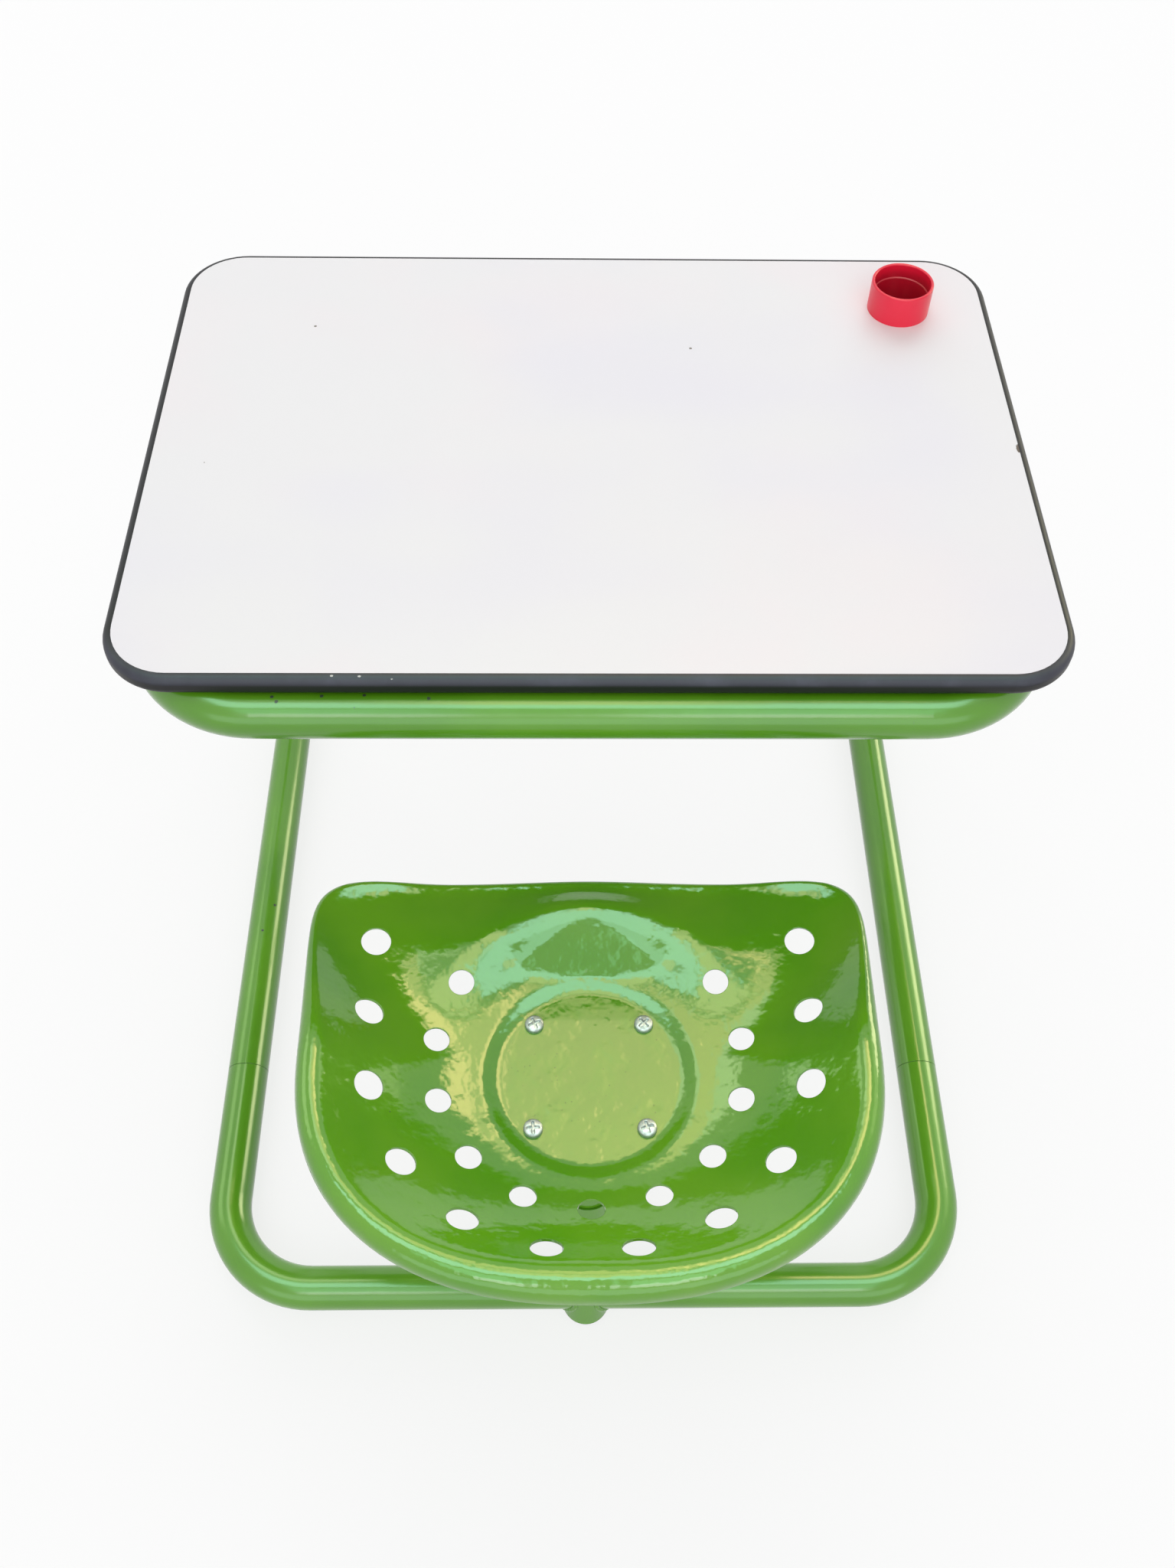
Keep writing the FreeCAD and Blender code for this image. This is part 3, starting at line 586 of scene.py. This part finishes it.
# %% Sweep a bead along a closed line
def unit(vectors):
    """Vectors divided by their own lengths."""
    return vectors / np.linalg.norm(vectors, axis=-1, keepdims=True)


def full_turn(count):
    """Angles of evenly spread points round a circle."""
    return np.linspace(0, 2 * pi, count, endpoint=False)


ring = full_turn(12)


def bead(name, path, outward, radius, scallops):
    """A closed tube round a closed path. At each path point the ring is spanned by the outward
    direction and by its cross product with the path's own direction. Along each scallop the radius
    grows from 0.95 to 1.1 of the given one, and lags behind on the ring's outer side, as poured
    metal does."""
    along = unit(np.roll(path, -1, axis=-2) - np.roll(path, 1, axis=-2))
    across = unit(np.cross(along, outward))
    normal = np.cross(across, along)
    run = np.arange(path.shape[-2]) / path.shape[-2]
    phase = scallops * run[:, None] + 0.3 * np.cos(ring)[None, :]
    swell = radius * (0.95 + 0.15 * (phase % 1.0))[..., None]
    spokes = np.cos(ring)[:, None] * normal[..., None, :]
    spokes = spokes + np.sin(ring)[:, None] * across[..., None, :]
    points = path[..., None, :] + swell * spokes
    made = grid_mesh(name, points, close_rows=True, close_columns=True)
    made.data.materials.append(finishes["frame_enamel"])
    return made


print("a bead is", len(ring), "points round")

# %% Weld the post to the crossbar
lean_side = np.array([0, post_axis.z, -post_axis.y])
turn = full_turn(320)
post_low, post_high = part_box("seat_post")
post_radius = (post_high.x - post_low.x) / 2
ring_y, ring_z = tube_radius * np.cos(turn), tube_radius * np.sin(turn)
reach = np.sqrt(post_radius**2 - (ring_y * lean_side[1] + ring_z * lean_side[2])**2)
side = np.array([-1.0, 1.0])[:, None]
joint_line = np.stack(np.broadcast_arrays(side * reach, ring_y, ring_z), -1)
post_line = joint_line + np.array(crossbar)
post_weld = bead("post_weld", post_line, unit(joint_line), radius=0.0026, scallops=34)
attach(post_weld, "frame")

# %% Weld the stem under the plate
stem_low, stem_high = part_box("seat_stem")
stem_radius = (stem_high.x - stem_low.x) / 2
oval_x, oval_y = stem_radius * np.cos(turn), stem_radius / post_axis.z * np.sin(turn)
oval = np.stack([oval_x, oval_y, 0 * turn], -1)
outward = unit(oval) - np.array([0, 0, 0.6])
stem_line = oval + np.array(seat_centre)
stem_weld = bead("stem_weld", stem_line[None], outward[None], radius=0.0022, scallops=38)
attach(stem_weld, "seat")

# %% Weld the nut to the post
nut_low, nut_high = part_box("clamp_nut")
nut_centre = np.array([0, (nut_low.y + nut_high.y) / 2, (nut_low.z + nut_high.z) / 2])
nut_radius = 0.0071
up_post, over_post = nut_radius * np.cos(turn), nut_radius * np.sin(turn)
saddle = np.sqrt(post_radius**2 - over_post**2)[:, None] * np.array([1.0, 0, 0])
saddle = saddle + up_post[:, None] * np.array(post_axis) + over_post[:, None] * lean_side
nut_facing = unit(saddle - np.array([post_radius - 0.004, 0, 0]))
nut_line = saddle + nut_centre
nut_weld = bead("nut_weld", nut_line[None], nut_facing[None], radius=0.0013, scallops=22)
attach(nut_weld, "frame")

# %% [markdown]
# ## Cross-slotted screws
# The CAD screws have the right size and place but plain heads. Here each is one surface of
# revolution: a domed crown, a flat underside, a shank and a threaded tail. The cross is a height
# taken off the crown, and the thread is a helix taken off the tail's radius, so both come from the
# same two parameters as the rest.

# %% One screw as a surface
def cross_screw(head_radius, head_height, shank_radius, length, slot, thread_length, pitch):
    """Points of a screw whose head stands on z = 0. Along the rows the profile goes over the crown,
    where r = R sin a and z = H (cos a) to the power 0.4, under the head, and down the shank to a
    bevelled tip. A cross of slot length, width and depth is cut into the crown, with sides that fall
    off over 0.2 mm and ends over 0.6 mm. On the tail the radius drops by a triangle wave of z / pitch
    plus turn."""
    turn = full_turn(72)
    arc = np.linspace(0, pi / 2, 34)
    thread_rows = max(2, int(8 * thread_length / pitch))
    tail = np.linspace(-length + thread_length, -length + 0.12 * shank_radius, thread_rows)
    shank, tip = np.full(thread_rows + 1, shank_radius), [0.8 * shank_radius, 0.0]
    radius = np.concatenate([head_radius * np.sin(arc), shank, tip])
    height = np.concatenate([head_height * np.cos(arc)**0.4, [0.0], tail, [-length, -length]])
    threaded = (height < -length + thread_length - pitch / 2) & (radius == shank_radius)
    wave = np.abs(2 * ((height[:, None] / pitch + turn / (2 * pi)) % 1.0) - 1)
    radius = radius[:, None] - threaded[:, None] * 0.3 * pitch * wave
    x, y = radius * np.cos(turn), radius * np.sin(turn)
    slot_length, slot_width, slot_depth = slot
    side_fall, end_fall = 0.0002, 0.0006

    def bar(across, along):
        """1 inside one bar of the cross and 0 outside it."""
        narrow = np.clip((slot_width / 2 - np.abs(across)) / side_fall + 0.5, 0, 1)
        return narrow * np.clip((slot_length / 2 - np.abs(along)) / end_fall + 0.5, 0, 1)

    crown = (np.arange(len(height)) < len(arc) - 1)[:, None]
    z = height[:, None] - crown * slot_depth * np.maximum(bar(x, y), bar(y, x))
    return np.stack([x, y, z], -1)


screws_low, screws_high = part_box("seat_screws")
head_radius, head_height = 0.0075, 0.005
head_z = screws_high.z - head_height
seat_screw = cross_screw(head_radius, head_height, shank_radius=0.004, length=head_z - screws_low.z,
                         slot=(0.0096, 0.0021, 0.003), thread_length=0.005, pitch=0.00125)
print("a seat screw is a grid of", seat_screw.shape[0], "by", seat_screw.shape[1], "points")

# %% Seat screws
def set_screws(name, screw, places, turns, node, body, facing_down=False):
    """Copies of a screw at several places, each turned about its own axis, and flipped over if it
    faces down. They stand for a CAD node and ride on its body."""
    angle = np.array(turns)[:, None, None]
    x = screw[..., 0] * np.cos(angle) - screw[..., 1] * np.sin(angle)
    y = screw[..., 0] * np.sin(angle) + screw[..., 1] * np.cos(angle)
    z = np.broadcast_to(screw[..., 2], x.shape)
    flip = -1 if facing_down else 1
    points = np.stack([x, flip * y, flip * z], -1) + np.array(places)[:, None, None, :]
    made = grid_mesh(name, points, close_columns=True)
    made.data.materials.append(finishes["zinc"])
    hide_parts(node)
    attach(made, body)


half = (screws_high.x - screws_low.x) / 2 - head_radius
seat_places = [(x, seat_centre.y + y, head_z) for x in (-half, half) for y in (-half, half)]
set_screws("seat_screw_set", seat_screw, seat_places, (0.05, 0.4, 0.3, 0.75), "seat_screws", "seat")

# %% Screws under the top
low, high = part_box("top_inserts")
under_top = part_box("top_loop")[0].z
insert_radius = 0.005
top_places = [(x, y, under_top) for x in (low.x + insert_radius, high.x - insert_radius)
              for y in (low.y + insert_radius, high.y - insert_radius)]
screw_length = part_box("top_screws")[1].z - under_top
top_screw = cross_screw(head_radius=0.0055, head_height=0.0034, shank_radius=0.003, length=screw_length,
                        slot=(0.006, 0.0014, 0.0016), thread_length=0.004, pitch=0.001)
set_screws("top_screw_set", top_screw, top_places, (0.2, 0.9, 0.5, 1.3), "top_screws", "frame",
           facing_down=True)

# %% Screws at the plug joints
spigots = [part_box(f"{side}_{level}_spigot") for level in ("floor", "top") for side in ("left", "right")]
joint_places = [((a.x + b.x) / 2, a.y + 0.75 * (b.y - a.y), (a.z + b.z) / 2 - tube_radius)
                for a, b in spigots]
joint_screw = cross_screw(head_radius=0.004, head_height=0.002, shank_radius=0.0021, length=0.009,
                          slot=(0.0042, 0.001, 0.001), thread_length=0.006, pitch=0.0014)
set_screws("joint_screw_set", joint_screw, joint_places, (0.6, 0.1, 1.1, 0.35), "joint_screws", "frame",
           facing_down=True)

# %% [markdown]
# ## Floor
# The photograph stands the desk on white. A white floor lit by lamps is never quite even, so for the
# camera and for reflections most of it is a plain white glow, and the rest is real diffuse white
# that keeps the desk's soft shadow. Light that bounces from such a floor would wash out the paint
# from below, so bounced rays meet a grey floor.

# %% Floor
floor_reach, glow_share = 9.0, 0.78
bounce_grey, floor_white, glow_white = paint(140, 140, 140), paint(248, 248, 248), (1, 1, 1, 1)
extent = np.array([-floor_reach, floor_reach])
across, away = np.meshgrid(extent, extent)
floor = grid_mesh("floor", np.stack([across, away, 0 * across], -1)[None])
floor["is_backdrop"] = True
graph = new_finish("floor_white")
seen = graph.seen()
shade = graph.mix(seen, bounce_grey, floor_white)
matt = graph.node("ShaderNodeBsdfDiffuse", {}, {"Color": shade})
glow = graph.node("ShaderNodeEmission", {}, {"Color": glow_white, "Strength": 1.0})
surface = graph.node("ShaderNodeMixShader", {}, {0: glow_share * seen, 1: matt, 2: glow})
graph.node("ShaderNodeOutputMaterial", {}, {"Surface": surface})
floor.data.materials.append(finishes["floor_white"])

# %% [markdown]
# ## Light
# Two jobs are kept apart. Matt colour needs an even, neutral level, at which a paint renders about as
# it is written. A dim room and three soft suns give that, one from overhead, one from the sitter's
# side and one from the far side, and the suns are hidden from gloss. Gloss shows what stands round
# the desk, so cards that only gloss can see stand there. A mint sky lies overhead as a horseshoe,
# with warm foliage inside it and beyond it. Skylights and windows behind the sitter leave a gap in
# their middle, which keeps the raised front of the seat dark. A pale horizon, two side glows and a
# sunlit garden brighten the rim and the tubes. Past the cards, gloss meets the white backdrop that
# the camera sees.

# %% Daylight for matt colour
def daylight(name, level, spread, lean):
    """A soft sun that leans from overhead to the sitter's side, or to the far side with a negative
    lean. A level of 1 from straight overhead lights a white sheet white."""
    data = bpy.data.lights.new(name, "SUN")
    data.energy, data.angle = level * pi, spread
    lamp = bpy.data.objects.new(name, data)
    lamp.rotation_euler = (lean, 0, 0)
    lamp.visible_glossy = False
    scene.collection.objects.link(lamp)
    print(name, "at level", level)


daylight("overhead_light", level=0.26, spread=radians(110), lean=0)
daylight("near_light", level=0.42, spread=radians(70), lean=radians(70))
daylight("far_light", level=0.58, spread=radians(70), lean=radians(-66))

# %% Cards for gloss
ceiling_height = 4.2


def card(name, centre, target, width, height, colour, radiance):
    """An area lamp that faces a target and is seen in gloss only. Its power is its radiance times pi
    times its area."""
    data = bpy.data.lights.new(name, "AREA")
    data.shape = "RECTANGLE"
    data.size, data.size_y = width, height
    data.color = colour
    data.energy = radiance * pi * width * height
    lamp = bpy.data.objects.new(name, data)
    lamp.location = centre
    lamp.rotation_mode = "QUATERNION"
    lamp.rotation_quaternion = (Vector(target) - Vector(centre)).to_track_quat("-Z", "Y")
    lamp.visible_diffuse = lamp.visible_camera = False
    scene.collection.objects.link(lamp)
    print(name, "gives", round(data.energy, 1), "watts")


def overhead(name, across, away, colour, radiance):
    """A level card at ceiling height, from its limits across and away from the sitter."""
    x, y = sum(across) / 2, sum(away) / 2
    width, height = across[1] - across[0], away[1] - away[0]
    card(name, (x, y, ceiling_height), (x, y, 0), width, height, colour, radiance)


print("level cards hang", ceiling_height, "m over the floor")

# %% Sky, skylights and windows
seat_point = (0, seat_centre.y, 0.3)
mint, cool, pale, haze_blue = (0.52, 1.0, 0.83), (0.4, 1.0, 0.65), (0.93, 0.97, 1.0), (0.7, 0.95, 0.9)
overhead("sky_card", (-2.2, 2.2), (-1.3, -0.25), mint, 4.8)
overhead("left_sky", (-2.2, -0.6), (-0.25, 0.3), mint, 4.8)
overhead("right_sky", (0.6, 2.2), (-0.25, 0.3), mint, 4.8)
overhead("left_skylight", (-1.77, -0.47), (-3.9, -1.7), cool, 2.4)
overhead("right_skylight", (0.32, 1.72), (-3.9, -1.7), cool, 2.4)
card("left_window", (-0.86, -3.3, 3.1), seat_point, 0.9, 1.0, pale, 4.0)
card("right_window", (0.75, -3.3, 3.1), seat_point, 1.1, 1.0, pale, 4.0)
card("horizon", (0, -5, 1.7), seat_point, 9, 2.4, haze_blue, 1.2)

# %% Foliage and garden
leaf, pale_leaf, amber, gold = (0.95, 0.9, 0.42), (0.85, 1.0, 0.58), (1.0, 0.8, 0.34), (1.0, 0.7, 0.3)
lime, olive, sunlit = (0.75, 1.0, 0.5), (0.85, 1.0, 0.45), (1.0, 0.92, 0.55)
overhead("near_foliage", (-0.5, 0.5), (-0.25, 0.7), leaf, 3.8)
overhead("left_foliage", (-1.4, -0.4), (0.85, 2.1), pale_leaf, 3.4)
overhead("middle_foliage", (-0.4, 0.4), (0.85, 2.1), amber, 3.5)
overhead("right_foliage", (0.4, 1.3), (0.85, 2.0), gold, 8.0)
overhead("left_glow", (-7.5, -3.6), (0.6, 3.6), lime, 2.2)
overhead("right_glow", (3.6, 7.5), (0.6, 3.6), olive, 1.2)
card("garden", (3.7, 2.2, 1.9), seat_point, 1.8, 1.6, sunlit, 7.0)

# %% Room and backdrop
room_level, room_white = 0.35, (0.98, 0.99, 1.0, 1)
world = bpy.data.worlds.new("room")
scene.world = world
world.use_nodes = True
graph = Graph(world.node_tree)
room = graph.node("ShaderNodeBackground", {}, {"Color": room_white, "Strength": room_level})
backdrop = graph.node("ShaderNodeBackground", {}, {"Color": glow_white, "Strength": 1.0})
surface = graph.node("ShaderNodeMixShader", {}, {0: graph.seen(), 1: room, 2: backdrop})
graph.node("ShaderNodeOutputWorld", {}, {"Surface": surface})
scene.view_settings.view_transform = "Standard"
print("room at level", room_level, "under a", scene.view_settings.view_transform, "view")

# %% Print the box of everything shown
low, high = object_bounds()
print("box now from", [round(v, 4) for v in low], "to", [round(v, 4) for v in high])
